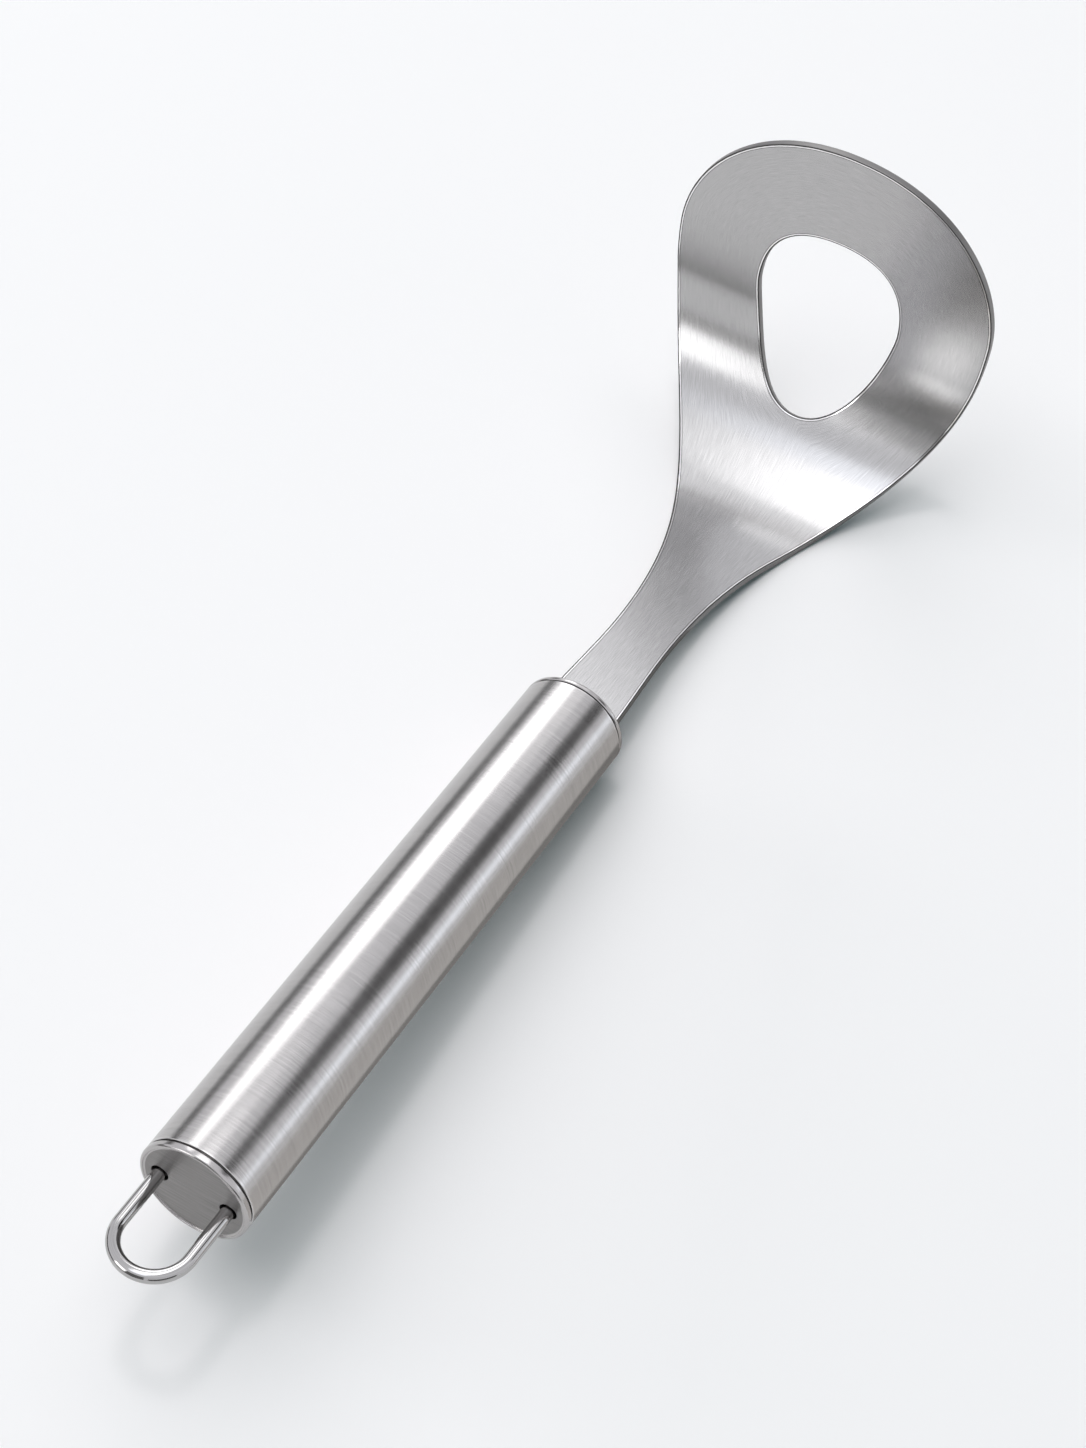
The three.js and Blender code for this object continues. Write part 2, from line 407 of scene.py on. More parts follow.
class Surface:
    """A material or a world while its nodes are laid out."""

    def __init__(self, owner: Material | bpy.types.World) -> None:
        """Starts with no nodes.

        Args:
            owner: the new material or world.
        """
        self.owner = owner
        owner.use_nodes = True
        self.tree = owner.node_tree
        self.tree.nodes.clear()

    def node(
        self,
        kind: str,
        settings: dict[str, object] | None = None,
        inputs: dict[str | int, Input] | None = None,
    ) -> bpy.types.Node:
        """Adds one node, with its settings first and then its inputs.

        Args:
            kind: the node's type.
            settings: its own settings, such as an operation.
            inputs: values or links by the socket's name or number, with colours as RGB.

        Returns:
            The node.
        """
        node = self.tree.nodes.new(kind)
        for name, value in (settings or {}).items():
            setattr(node, name, value)
        for key, value in (inputs or {}).items():
            slot = node.inputs[key]
            if isinstance(value, Value):
                self.tree.links.new(value.socket, slot)
            elif isinstance(value, Socket):
                self.tree.links.new(value, slot)
            else:
                slot.default_value = (*value, 1.0) if slot.type == "RGBA" else value
        return node

    def value(self, node: bpy.types.Node, output: str | int = 0) -> Value:
        """One output of a node, for maths."""
        return Value(self.tree, node.outputs[output])

    def noise(self, vector: Socket, grain: Point, detail: float = 2.0) -> Value:
        """Soft noise that is 0 on average.

        Args:
            vector: where the noise is read, in metres.
            grain: how large its grains are each way, in metres.
            detail: how many finer layers it has.

        Returns:
            The noise, between -0.5 and 0.5.
        """
        factors = {0: vector, 1: tuple(1 / size for size in grain)}
        place = self.node("ShaderNodeVectorMath", {"operation": "MULTIPLY"}, factors).outputs[0]
        inputs = {"Vector": place, "Scale": 1.0, "Detail": detail, "Roughness": NOISE_ROUGHNESS}
        noise = self.node("ShaderNodeTexNoise", {"noise_dimensions": "3D"}, inputs)
        return self.value(noise) - NOISE_MEAN

    def split(self, vector: Socket) -> list[Value]:
        """A vector's X, Y and Z."""
        parts = self.node("ShaderNodeSeparateXYZ", None, {0: vector})
        return [self.value(parts, axis) for axis in range(3)]

    def handle_point(self, place: HandleFrame) -> Socket:
        """The shaded point in the handle's own frame.

        Args:
            place: where that frame is.

        Returns:
            The point, in metres.
        """
        coordinates = self.node("ShaderNodeTexCoord")
        inputs = {
            "Vector": coordinates.outputs["Object"],
            "Location": tuple(place.origin),
            "Rotation": (0.0, place.pitch, 0.0),
        }
        return self.node("ShaderNodeMapping", {"vector_type": "TEXTURE"}, inputs).outputs[0]

    def map_point(self, layer: str) -> Socket:
        """The shaded point in one of the piece's own UV maps."""
        return self.node("ShaderNodeUVMap", {"uv_map": layer}).outputs[0]

    def blend(self, share: Value, low: Input, high: Input) -> Socket:
        """A colour that goes from one to another as a share rises."""
        mix = self.node("ShaderNodeMix", {"data_type": "RGBA"}, {0: share, 6: low, 7: high})
        return mix.outputs[2]

    def seen(self) -> Value:
        """A mask of the rays that show the surround: the camera's, and those off metal and glass.

        Returns:
            The mask.
        """
        path = self.node("ShaderNodeLightPath")
        mask = self.value(path, "Is Camera Ray").higher(self.value(path, "Is Glossy Ray"))
        return mask.higher(self.value(path, "Is Transmission Ray"))

    def close(self, shader: bpy.types.Node, kind: str = "ShaderNodeOutputMaterial") -> None:
        """Sends a shader to the output."""
        self.node(kind, None, {"Surface": shader.outputs[0]})

    def steel(self, colour: Socket, roughness: Value, height: Value, depth: float) -> Material:
        """Closes the material as bare steel.

        Args:
            colour: the steel's colour.
            roughness: how dull it is.
            height: the brush lines' height, over a range of 1.
            depth: how deep the lines are, in metres.

        Returns:
            The finished material.
        """
        relief = {"Strength": 1.0, "Distance": depth, "Height": height}
        inputs = {
            "Base Color": colour,
            "Metallic": 1.0,
            "Roughness": roughness,
            "Normal": self.node("ShaderNodeBump", None, relief).outputs["Normal"],
        }
        self.close(self.node("ShaderNodeBsdfPrincipled", None, inputs))
        return self.owner


# Finishes


@dataclass(frozen=True)
class Brushing:
    """Fine brush lines with longer hairs among them, under a soft cloud."""

    dark: Colour
    light: Colour
    line_grain: Point
    hair_grain: Point
    cloud_grain: Point
    cloud_tone: float
    line_dulling: float
    mean_tone: float = 0.5
    line_tone: float = 1.6
    hair_share: float = 0.12
    roughness: float = 0.225
    cloud_dulling: float = 0.05
    depth: float = 0.0006 * MM

    def lay(self, surface: Surface, point: Socket) -> tuple[Socket, Value, Value, Value]:
        """Lays the brushing on a surface.

        Args:
            surface: the material.
            point: where the lines are read, in metres.

        Returns:
            The colour, the roughness, the fine lines and the hairs.
        """
        fine = surface.noise(point, self.line_grain, detail=1.0)
        hair = surface.noise(point, self.hair_grain, detail=0.0)
        cloud = surface.noise(point, self.cloud_grain)
        lines = fine * (1 - self.hair_share) + hair * self.hair_share
        tone = lines * self.line_tone + cloud * self.cloud_tone + self.mean_tone
        colour = surface.blend(tone.clamped(), self.dark, self.light)
        dull = self.roughness + lines * self.line_dulling + cloud * self.cloud_dulling
        return colour, dull, fine, hair


@dataclass(frozen=True)
class BladeFinish:
    """Belt-brushed sheet, with lines that run up the shank and on round the ring."""

    name: str = "brushed_sheet_steel"
    brushing: Brushing = Brushing(
        dark=(0.375, 0.37, 0.369),
        light=(0.545, 0.538, 0.537),
        line_grain=(4 * MM, 0.085 * MM, 1.0),
        hair_grain=(8 * MM, 0.2125 * MM, 1.0),
        cloud_grain=(14 * MM, 23.33 * MM, 1.0),
        cloud_tone=0.2,
        line_dulling=0.04,
    )
    # Painted shade: a dark line along the crease where the flat face meets the rounded edge.
    crease_shade: Colour = (0.12, 0.116, 0.115)
    # Painted highlight: a near-white line on the rounded edge, over the edge's real polish.
    bevel: Colour = (0.92, 0.905, 0.9)
    # Painted shade: a near-black band at the cut edge, over the edge's real rough finish.
    rim: Colour = (0.045, 0.044, 0.043)
    # Painted shade: the strip of sheared edge painted dark grey.
    shear_shade: Colour = (0.2, 0.194, 0.191)
    crease_shade_share: float = 0.85
    crease_shade_band: float = 0.64 * MM
    bevel_highlight_band: float = 0.5 * MM
    rim_shade_band: float = 0.28 * MM
    shear_shade_band: float = 0.05 * MM
    fade: float = 0.07 * MM
    bevel_roughness: float = 0.13
    rim_roughness: float = 0.4
    nick_grain: Point = (1.5 * MM, 0.5 * MM, 1.0)
    nick_reach: float = 0.12 * MM
    nick_dulling: float = 0.2

    def make(self) -> Material:
        """Lays the finish out.

        Returns:
            The material.
        """
        surface = Surface(bpy.data.materials.new(self.name))
        grain = surface.map_point("Grain")
        colour, dull, fine, _ = self.brushing.lay(surface, grain)
        nick = surface.noise(grain, self.nick_grain)
        to_hole, to_outline, _ = surface.split(surface.map_point("Rim"))
        inset = to_hole.lower(to_outline) + nick * self.nick_reach
        bands = (self.crease_shade_band, self.bevel_highlight_band, self.rim_shade_band, self.shear_shade_band)
        crease_shade, bevel, rim, shear_shade = (inset.rise(band + self.fade, band) for band in bands)
        # Painted shade line along the crease inside the rounded edge.
        colour = surface.blend(crease_shade * self.crease_shade_share, colour, self.crease_shade)
        # Painted highlight along the rounded edge; the lower roughness set further down is the
        # edge's real polish.
        colour = surface.blend(bevel, colour, self.bevel)
        # Painted shade band at the cut edge; its roughness and nicks further down are real.
        colour = surface.blend(rim, colour, self.rim)
        # Painted shade on the strip of sheared edge.
        colour = surface.blend(shear_shade, colour, self.shear_shade)
        dull = dull.toward(self.bevel_roughness, bevel)
        dull = dull.toward(self.rim_roughness + nick * self.nick_dulling, rim)
        height = (fine + NOISE_MEAN) * (1 - bevel)
        return surface.steel(colour, dull, height, self.brushing.depth)


@dataclass(frozen=True)
class TubeFinish:
    """Tube steel brushed round and round while it turned, with its ends worn bright."""

    place: HandleFrame
    sizes: Sizes
    name: str = "brushed_tube_steel"
    brushing: Brushing = Brushing(
        dark=(0.375, 0.363, 0.359),
        light=(0.54, 0.524, 0.517),
        line_grain=(0.085 * MM, 9 * MM, 9 * MM),
        hair_grain=(0.18889 * MM, 22.5 * MM, 22.5 * MM),
        cloud_grain=(11.11 * MM, 16.67 * MM, 16.67 * MM),
        cloud_tone=0.25,
        line_dulling=0.05,
    )
    edge: Colour = (0.64, 0.625, 0.62)
    edge_share: float = 0.6
    edge_band: float = 0.5 * MM
    edge_core: float = 0.15 * MM
    edge_ragged: float = 0.4 * MM
    edge_polish: float = 0.05

    def make(self) -> Material:
        """Lays the finish out.

        Returns:
            The material.
        """
        surface = Surface(bpy.data.materials.new(self.name))
        point = surface.handle_point(self.place)
        colour, dull, fine, hair = self.brushing.lay(surface, point)
        along, _, _ = surface.split(point)
        inset = (along - self.sizes.tube_start).lower(self.sizes.tube_end - along)
        worn = (inset + hair * self.edge_ragged).rise(self.edge_band, self.edge_core)
        colour = surface.blend(worn * self.edge_share, colour, self.edge)
        return surface.steel(colour, dull - worn * self.edge_polish, fine, self.brushing.depth)


@dataclass(frozen=True)
class CupFinish:
    """Satin pressed cup with a polished rolled rim."""

    place: HandleFrame
    name: str = "satin_cup_steel"
    dark: Colour = (0.12, 0.118, 0.115)
    face: Colour = (0.256, 0.247, 0.241)
    rim: Colour = (0.46, 0.444, 0.44)
    face_tone: float = 0.82
    line_tone: float = 1.3
    cloud_tone: float = 0.25
    face_roughness: float = 0.36
    blast_dulling: float = 0.14
    cloud_dulling: float = 0.1
    rim_roughness: float = 0.19
    line_dulling: float = 0.05
    face_radius: float = 8.95 * MM
    face_fade: float = 0.15 * MM
    line_grain: Point = (9 * MM, 9 * MM, 0.22 * MM)
    blast_grain: Point = (0.35 * MM, 0.35 * MM, 0.35 * MM)
    cloud_grain: Point = (6.25 * MM, 6.25 * MM, 6.25 * MM)
    rim_levelling: float = 0.8
    depth: float = 0.003 * MM

    def make(self) -> Material:
        """Lays the finish out.

        Returns:
            The material.
        """
        surface = Surface(bpy.data.materials.new(self.name))
        point = surface.handle_point(self.place)
        _, across, up = surface.split(point)
        radius = (across * across + up * up).root()
        rim = radius.rise(self.face_radius, self.face_radius + self.face_fade)
        lines = surface.noise(point, self.line_grain)
        blast = surface.noise(point, self.blast_grain)
        cloud = surface.noise(point, self.cloud_grain)
        tone = self.face_tone + lines * self.line_tone + cloud * self.cloud_tone
        colour = surface.blend(tone.clamped(), self.dark, self.face)
        colour = surface.blend(rim, colour, self.rim)
        dull = self.face_roughness + blast * self.blast_dulling + cloud * self.cloud_dulling
        dull = dull.toward(self.rim_roughness + lines * self.line_dulling, rim)
        height = ((lines + blast) / 2 + NOISE_MEAN) * (1 - rim * self.rim_levelling)
        return surface.steel(colour, dull, height, self.depth)


@dataclass(frozen=True)
class WireFinish:
    """Drawn and tumbled wire, close to a mirror."""

    name: str = "polished_wire_steel"
    dark: Colour = (0.36, 0.352, 0.349)
    light: Colour = (0.5, 0.49, 0.486)
    mean_tone: float = 0.55
    line_tone: float = 1.6
    roughness: float = 0.1
    line_dulling: float = 0.06
    scuff_dulling: float = 0.08
    line_grain: Point = (9 * MM, 0.25 * MM, 1.0)
    scuff_grain: Point = (1.6 * MM, 1.1 * MM, 1.0)
    scuff_share: float = 0.3
    depth: float = 0.0012 * MM

    def make(self) -> Material:
        """Lays the finish out.

        Returns:
            The material.
        """
        surface = Surface(bpy.data.materials.new(self.name))
        point = surface.map_point("Drawn")
        lines = surface.noise(point, self.line_grain)
        scuff = surface.noise(point, self.scuff_grain)
        tone = lines * self.line_tone + self.mean_tone
        colour = surface.blend(tone.clamped(), self.dark, self.light)
        dull = self.roughness + lines * self.line_dulling + scuff * self.scuff_dulling
        height = lines * (1 - self.scuff_share) + scuff * self.scuff_share
        return surface.steel(colour, dull, height, self.depth)


# Pieces


@dataclass
class ScoopPiece(ABC):
    """A piece of the scoop, which is modelled in the handle's frame and then dressed."""

    sizes: Sizes

    @abstractmethod
    def build(self) -> Object:
        """Models the piece."""

    def dress(self, piece: Object, finish: Material) -> None:
        """Gives the modelled piece its finish."""
        piece.data.materials.append(finish)


def bezier(*ends: Pair, steps: int = 48) -> np.ndarray:
    """Points along a cubic curve.

    Args:
        ends: its start, two handles and end, each (along, across).
        steps: how many straight steps it is cut into.

    Returns:
        The points, one row each.
    """
    share = np.linspace(0, 1, steps + 1)[:, None]
    rest = 1 - share
    weights = np.hstack([rest**3, 3 * share * rest**2, 3 * share**2 * rest, share**3])
    return weights @ np.array(ends, float)


def run_length(points: np.ndarray) -> np.ndarray:
    """How far along a line of points each point is."""
    return np.r_[0, np.cumsum(np.linalg.norm(np.diff(points, axis=0), axis=1))]


def nearest(points: np.ndarray, line: np.ndarray) -> tuple[np.ndarray, np.ndarray]:
    """Finds each point's nearest place on a line of points.

    Args:
        points: the points, one row each.
        line: the line's own points, one row each.

    Returns:
        The distance to that place, and how far along the line it is.
    """
    start, step = line[:-1], np.diff(line, axis=0)
    length = np.linalg.norm(step, axis=1)
    travel = run_length(line)
    distances, runs = [], []
    for point in points:
        share = np.clip(((point - start) * step).sum(1) / length**2, 0, 1)
        gaps = np.linalg.norm(start + share[:, None] * step - point, axis=1)
        best = gaps.argmin()
        distances.append(gaps[best])
        runs.append(travel[best] + share[best] * length[best])
    return np.array(distances), np.array(runs)


@dataclass
class RingBlade(ScoopPiece):
    """The sheet blade: a tang and shank that flare into a ring, bent up across the head."""

    tang_length: float = 35 * MM
    tang_corner: float = 2 * MM
    neck_width: float = 12.1 * MM
    neck_distance: float = 25.5 * MM
    neck_taper: float = 8 * MM
    head_width: float = 65.2 * MM
    flare_length: float = 94 * MM
    flare_from_neck: float = 50 * MM
    flare_to_head: float = 38 * MM
    crown_length: float = 29.5 * MM
    crown_from_head: float = 14 * MM
    crown_at_tip: float = 21 * MM
    shank_flat: float = 60 * MM
    bend_radius: float = 30 * MM
    bend_angle: float = math.radians(94)
    hole_width: float = 29.2 * MM
    hole_length: float = 39.6 * MM
    hole_to_tip: float = 19.8 * MM
    hole_top_to_widest: float = 15 * MM
    hole_top_curve: float = 8 * MM
    hole_shoulder_curve: float = 11.5 * MM
    hole_side_curve: float = 3 * MM
    hole_foot_curve: float = 11 * MM
    hole_centre_share: float = 0.52
    edge_round: float = 0.34 * MM
    sharp_edge: float = math.radians(50)
    ring_start: float = 66 * MM
    shank_grain: Pair = (40 * MM, 6.5 * MM)
    ring_grain: Pair = (92 * MM, 15 * MM)
    corner_points: int = 7
    outline_steps: int = 120
    hole_steps: int = 90
    spokes: int = 288
    cross_spokes: int = 14
    rings: int = 26
    shank_rows: int = 64
    name: str = "ring_blade"

    @property
    def tip(self) -> float:
        """Length of the sheet from the handle's mouth."""
        return self.neck_distance + self.flare_length + self.crown_length

    def half_outline(self) -> np.ndarray:
        """The left outer edge of the flat sheet, from the tang's end to the tip.

        Returns:
            Points of (along, across).
        """
        widths = (self.sizes.shank_width, self.neck_width, self.head_width)
        shank, neck, head = (width / 2 for width in widths)
        narrow, tip = self.neck_distance, self.tip
        widest = narrow + self.flare_length
        turn = np.linspace(math.pi, math.pi / 2, self.corner_points)
        corner = np.c_[
            -self.tang_length + self.tang_corner * (1 + np.cos(turn)),
            shank - self.tang_corner * (1 - np.sin(turn)),
        ]
        taper = bezier(
            (0, shank), (self.neck_taper, shank), (narrow - self.neck_taper, neck), (narrow, neck)
        )
        flare = bezier(
            (narrow, neck), (narrow + self.flare_from_neck, neck),
            (widest - self.flare_to_head, head), (widest, head), steps=self.outline_steps,
        )
        crown = bezier(
            (widest, head), (widest + self.crown_from_head, head),
            (tip, self.crown_at_tip), (tip, 0), steps=self.outline_steps,
        )
        return np.vstack([corner, taper, flare[1:], crown[1:]])

    def half_hole(self) -> np.ndarray:
        """The left edge of the hole, from its foot to its top.

        Returns:
            Points of (along, across).
        """
        half, top = self.hole_width / 2, self.tip - self.hole_to_tip
        widest, foot = top - self.hole_top_to_widest, top - self.hole_length
        lower = bezier(
            (foot, 0), (foot, self.hole_foot_curve),
            (widest - self.hole_side_curve, half), (widest, half), steps=self.hole_steps,
        )
        upper = bezier(
            (widest, half), (widest + self.hole_shoulder_curve, half),
            (top, self.hole_top_curve), (top, 0), steps=self.hole_steps,
        )
        return np.vstack([lower, upper[1:]])

    def spoke_ends(self) -> tuple[np.ndarray, np.ndarray]:
        """Where each spoke of the ring starts and ends, from the tip round by the left.

        Returns:
            The inner ends on the hole and the outer ends on the outline.
        """
        outline = self.half_outline()
        rim = outline[outline[:, 0] >= self.ring_start]
        width = self.half_width(np.array([self.ring_start]))[0]
        rim = np.vstack([[self.ring_start, width], rim])[::-1]
        travel = run_length(rim)
        half = self.spokes // 2
        stops = np.linspace(0, travel[-1], half - self.cross_spokes + 1)
        flank = np.c_[np.interp(stops, travel, rim[:, 0]), np.interp(stops, travel, rim[:, 1])]
        across = np.linspace(width, 0, self.cross_spokes + 1)[1:]
        outer = np.vstack([flank, np.c_[np.full(len(across), self.ring_start), across]])
        hole = self.half_hole()
        centre = np.array([hole[0, 0] + self.hole_centre_share * self.hole_length, 0])
        reach = hole - centre
        angle = np.arctan2(reach[:, 1], reach[:, 0])[::-1]
        ray = outer - centre
        turn = np.arctan2(ray[:, 1], ray[:, 0])
        radius = np.interp(turn, angle, np.linalg.norm(reach, axis=1)[::-1])
        inner = centre + radius[:, None] * np.c_[np.cos(turn), np.sin(turn)]
        mirror = np.array([1, -1])
        return (
            np.vstack([inner, inner[-2:0:-1] * mirror]),
            np.vstack([outer, outer[-2:0:-1] * mirror]),
        )

    def half_width(self, along: np.ndarray) -> np.ndarray:
        """Half the sheet's width at some distances short of its widest place."""
        outline = self.half_outline()
        return np.interp(along, outline[:, 0], outline[:, 1])

    def flat_ring(self) -> Object:
        """Extrudes a circle outwards ring by ring and lays its spokes between hole and outline.

        Returns:
            The flat ring part of the sheet.
        """
        Bench.clear()
        bpy.ops.mesh.primitive_circle_add(vertices=self.spokes, radius=1.0)
        piece = bpy.context.object
        bpy.ops.object.mode_set(mode="EDIT")
        for ring in range(1, self.rings + 1):
            bpy.ops.mesh.extrude_region_move()
            bpy.ops.transform.resize(value=((ring + 1) / ring,) * 3)
        bpy.ops.object.mode_set(mode="OBJECT")
        inner, outer = self.spoke_ends()
        for vertex in piece.data.vertices:
            x, y, _ = vertex.co
            ring = round(math.hypot(x, y)) - 1
            spoke = round(math.atan2(y, x) / math.tau * self.spokes) % self.spokes
            share = ring / self.rings
            along, across = inner[spoke] * (1 - share) + outer[spoke] * share
            vertex.co = (along, across, 0)
        return piece

    def flat_shank(self) -> Object:
        """Lays a grid between the tang's end and the ring.

        Returns:
            The flat shank part of the sheet.
        """
        Bench.clear()
        bpy.ops.mesh.primitive_grid_add(
            x_subdivisions=self.shank_rows, y_subdivisions=2 * self.cross_spokes, size=2
        )
        piece = bpy.context.object
        half = (self.tang_length + self.ring_start) / 2
        along = np.array([vertex.co.x + 1 for vertex in piece.data.vertices])
        along = along * half - self.tang_length
        widths = self.half_width(along)
        for vertex, distance, width in zip(piece.data.vertices, along, widths):
            vertex.co = (distance, vertex.co.y * width, 0)
        return piece

    def grain_maps(self, piece: Object) -> None:
        """Writes the brush direction and the distance to the cut edges as two UV maps.

        Args:
            piece: the flat sheet, before it is bent.
        """
        flat = np.array([vertex.co[:2] for vertex in piece.data.vertices])
        left = np.abs(flat * [0, 1]) + flat * [1, 0]
        outline, hole = self.half_outline(), self.half_hole()
        axis = np.array([[-self.tang_length, 0], [hole[0, 0], 0]])
        outer, run = nearest(left, outline)
        to_hole, _ = nearest(left, hole)
        to_axis, _ = nearest(left, axis)
        inner = np.minimum(to_hole, to_axis)
        spread = np.interp(flat[:, 0], *zip(self.shank_grain, self.ring_grain))
        across = inner / (inner + outer + WELD) * spread
        whole = run_length(outline)[-1]
        grain = piece.data.uv_layers.new(name="Grain")
        rim = piece.data.uv_layers.new(name="Rim")
        for face in piece.data.polygons:
            right = face.center.y < 0
            for corner in face.loop_indices:
                vertex = piece.data.loops[corner].vertex_index
                travel = 2 * whole - run[vertex] if right else run[vertex]
                grain.data[corner].uv = (travel, across[vertex])
                rim.data[corner].uv = (to_hole[vertex], outer[vertex])

    def bend(self, piece: Object) -> None:
        """Folds the flat sheet's upper face up and sets it in the handle's mouth.

        Args:
            piece: the flat sheet.
        """
        arc = self.bend_radius * self.bend_angle
        droop = Matrix.Rotation(self.sizes.blade_droop, 3, "Y")
        mouth = Vector((self.sizes.handle_length, 0, self.sizes.blade_lift))
        mouth += droop @ Vector((0, 0, self.sizes.blade_thickness / 2))
        for vertex in piece.data.vertices:
            along, across, _ = vertex.co
            turned = min(max((along - self.shank_flat) / self.bend_radius, 0), self.bend_angle)
            beyond = max(along - self.shank_flat - arc, 0)
            x = min(along, self.shank_flat) + self.bend_radius * math.sin(turned)
            x += beyond * math.cos(self.bend_angle)
            z = self.bend_radius * (1 - math.cos(turned)) + beyond * math.sin(self.bend_angle)
            vertex.co = mouth + droop @ Vector((x, across, z))

    def build(self) -> Object:
        """Models the blade in the handle's frame.

        Returns:
            The finished blade.
        """
        ring, shank = self.flat_ring(), self.flat_shank()
        Bench.take(ring)
        shank.select_set(True)
        bpy.ops.object.join()
        ring.name = self.name
        Bench.tidy(ring)
        if sum(face.normal.z for face in ring.data.polygons) < 0:
            Bench.edit(ring)
            bpy.ops.mesh.select_all(action="SELECT")
            bpy.ops.mesh.flip_normals()
            bpy.ops.object.mode_set(mode="OBJECT")
        self.grain_maps(ring)
        self.bend(ring)
        Bench.thicken(ring, self.sizes.blade_thickness)
        Bench.ease(ring, self.edge_round, self.sharp_edge, loop_slide=False)
        Bench.smooth(ring, keep_flats=True)
        return ring


@dataclass
class HandleTube(ScoopPiece):
    """The rolled handle tube between the two rims."""

    sides: int = 256
    edge_round: float = 0.16 * MM
    sharp_edge: float = math.radians(50)
    name: str = "brushed_tube"

    def build(self) -> Object:
        """Models the tube in the handle's frame.

        Returns:
            The finished tube.
        """
        Bench.clear()
        start, end = self.sizes.tube_start, self.sizes.tube_end
        bpy.ops.mesh.primitive_cylinder_add(
            vertices=self.sides, radius=self.sizes.tube_radius, depth=end - start,
            location=((start + end) / 2, 0, 0), rotation=(0, math.pi / 2, 0),
            end_fill_type="NOTHING",
        )
        piece = bpy.context.object
        piece.name = self.name
        bpy.ops.object.transform_apply()
        Bench.thicken(piece, self.sizes.tube_wall)
        Bench.ease(piece, self.edge_round, self.sharp_edge)
        Bench.smooth(piece, keep_flats=True)
        return piece


